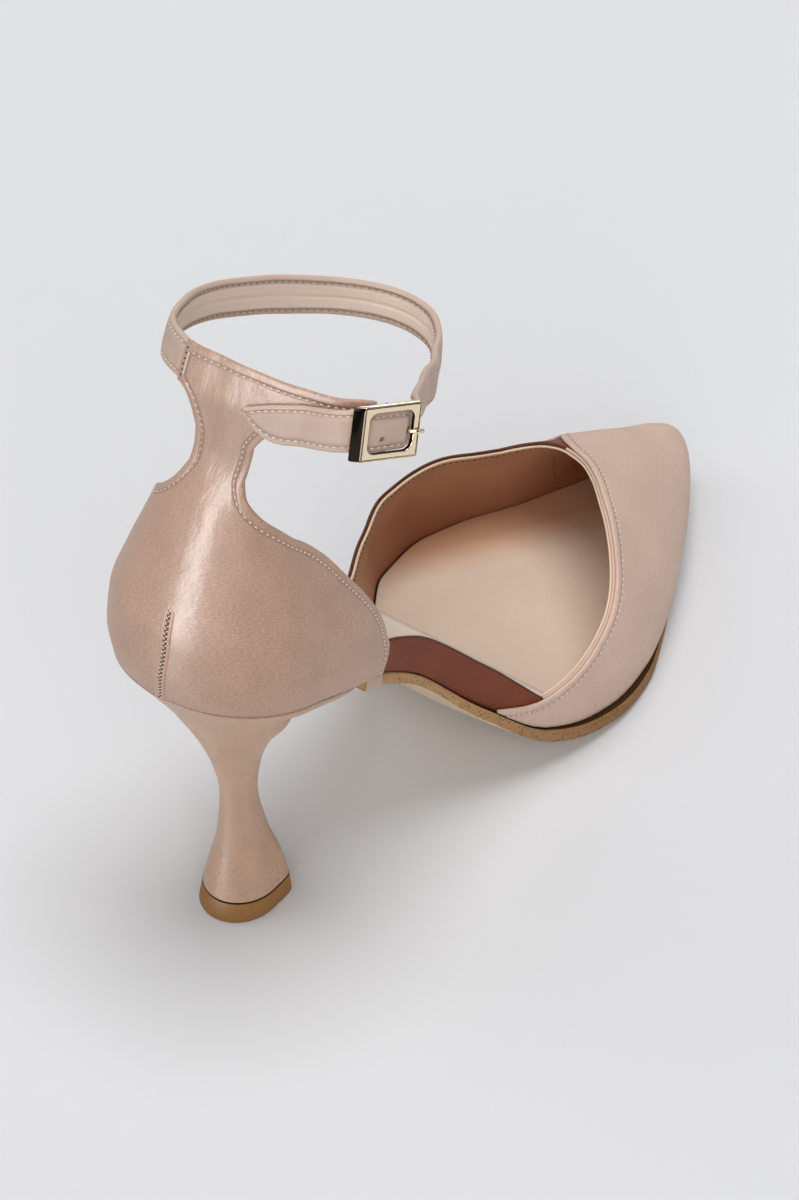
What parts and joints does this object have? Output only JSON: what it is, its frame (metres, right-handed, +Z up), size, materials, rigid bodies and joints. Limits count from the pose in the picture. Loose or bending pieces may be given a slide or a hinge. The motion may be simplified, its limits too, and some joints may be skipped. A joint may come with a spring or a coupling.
{
  "type": "stiletto pump",
  "caption": "Right-foot pointed pump with a flared high heel, open waist, and an ankle strap closed by a rectangular buckle.",
  "frame": {"origin": "centre of the bottom face of the top lift, the heel's tip, on the floor", "axes": "+X toward the toe along the shoe, +Y toward the inner (medial) side of the foot, +Z up"},
  "size_m": [0.238, 0.0849, 0.1814],
  "materials": {
    "tan_sole": "matte",
    "beige_sock": "matte",
    "heel_cover": "smooth, low sheen",
    "tan_rubber": "matte",
    "tan_lining": "smooth",
    "blush_leather": "matte",
    "blush_satin": "satin",
    "strap_leather": "matte",
    "pale_gold": "polished"
  },
  "bodies": {
    "root": {"outsole": "tan_sole", "insole": "beige_sock", "heel": "heel_cover", "top_lift": "tan_rubber", "upper": "tan_lining", "vamp": "blush_leather", "counter": "blush_satin", "ankle_strap": "strap_leather", "buckle_frame": "pale_gold", "buckle_prong": "pale_gold"}
  },
  "joints": []
}
